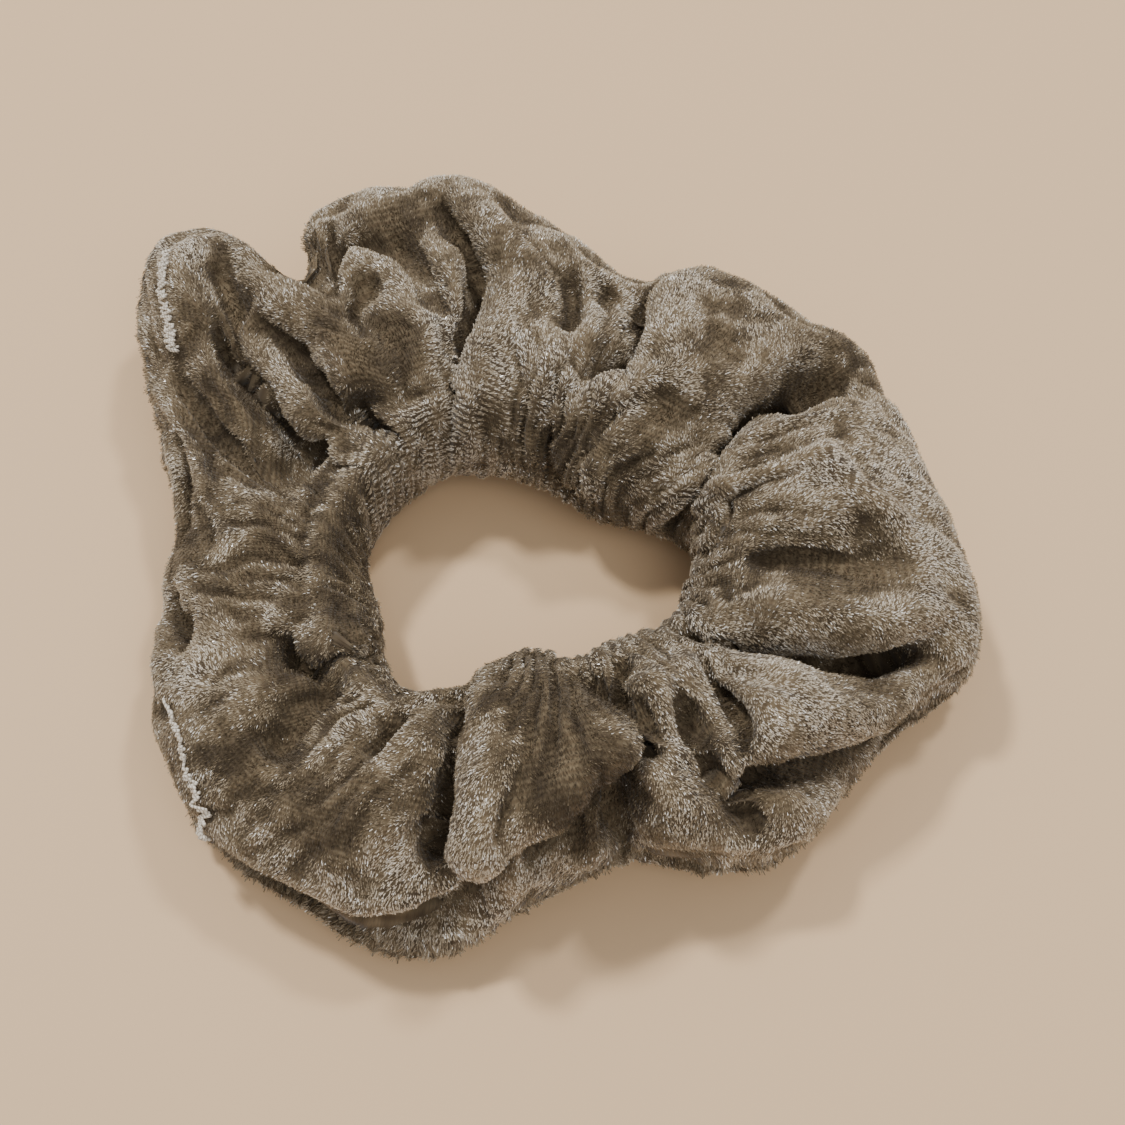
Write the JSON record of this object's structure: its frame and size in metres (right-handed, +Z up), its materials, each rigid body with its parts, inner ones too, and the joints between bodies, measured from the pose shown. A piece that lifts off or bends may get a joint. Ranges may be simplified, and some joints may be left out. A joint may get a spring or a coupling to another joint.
{
  "type": "scrunchie",
  "caption": "Gathered velvet tube over an elastic loop, for tying hair. The loop pulls open against its elastic and closes again by itself.",
  "frame": {"origin": "under the middle of the ring's box, on the surface that it lies on", "axes": "+Z up out of the surface it lies on, through the hole; the loop pulls open along +Y, and the closing stitches are on the -X side"},
  "size_m": [0.1194, 0.112, 0.028],
  "materials": {
    "velvet": "crushed knit velvet with a short lustrous pile",
    "elastic": "braided flat elastic, matt",
    "seam_thread": "spun polyester thread, matt",
    "white_thread": "spun polyester thread, matt"
  },
  "bodies": {
    "front": {"cover_front": "velvet", "elastic": "elastic", "elastic_stitch": "white_thread", "long_seam_thread": "seam_thread"},
    "sides": {"cover_left": "velvet", "cover_right": "velvet", "cross_seam_thread": "seam_thread", "closing_stitch": "white_thread"},
    "back": {"cover_back": "velvet"}
  },
  "joints": [
    {"name": "stretch", "type": "slide", "parent": "front", "child": "back", "axis": [0, 1, 0], "range_m": [0, 0.03], "stiffness_N_per_m": 80, "deforming": ["elastic", "long_seam_thread"]},
    {"name": "stretch_sides", "type": "slide", "parent": "front", "child": "sides", "axis": [0, 1, 0], "range_m": [0, 0.015]}
  ],
  "couplings": [
    {"joint": "stretch_sides", "follows": "stretch", "ratio": 0.5}
  ]
}
